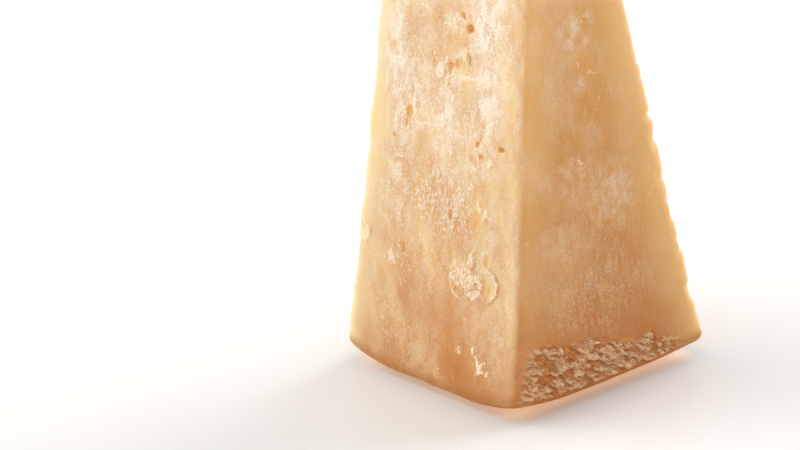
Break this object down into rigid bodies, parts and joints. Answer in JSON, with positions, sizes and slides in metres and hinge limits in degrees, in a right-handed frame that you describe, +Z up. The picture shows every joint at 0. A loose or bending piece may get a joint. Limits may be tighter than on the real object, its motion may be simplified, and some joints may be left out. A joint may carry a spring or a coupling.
{
  "type": "cheese wedge",
  "caption": "Tall tapering wedge of hard grating cheese, with flat cut faces, rounded edges, a blunt tip and a gently bulged rind end that it stands on.",
  "frame": {"origin": "middle of the bounding box in plan, on the surface that the rind stands on", "axes": "+Z up towards the tip; -Y is the front radial cut and +Y the back one; +X and -X are the level cuts"},
  "size_m": [0.0778, 0.0774, 0.21],
  "materials": {
    "hard_cheese": null
  },
  "bodies": {
    "root": {"cheese_wedge": "hard_cheese"}
  },
  "joints": []
}
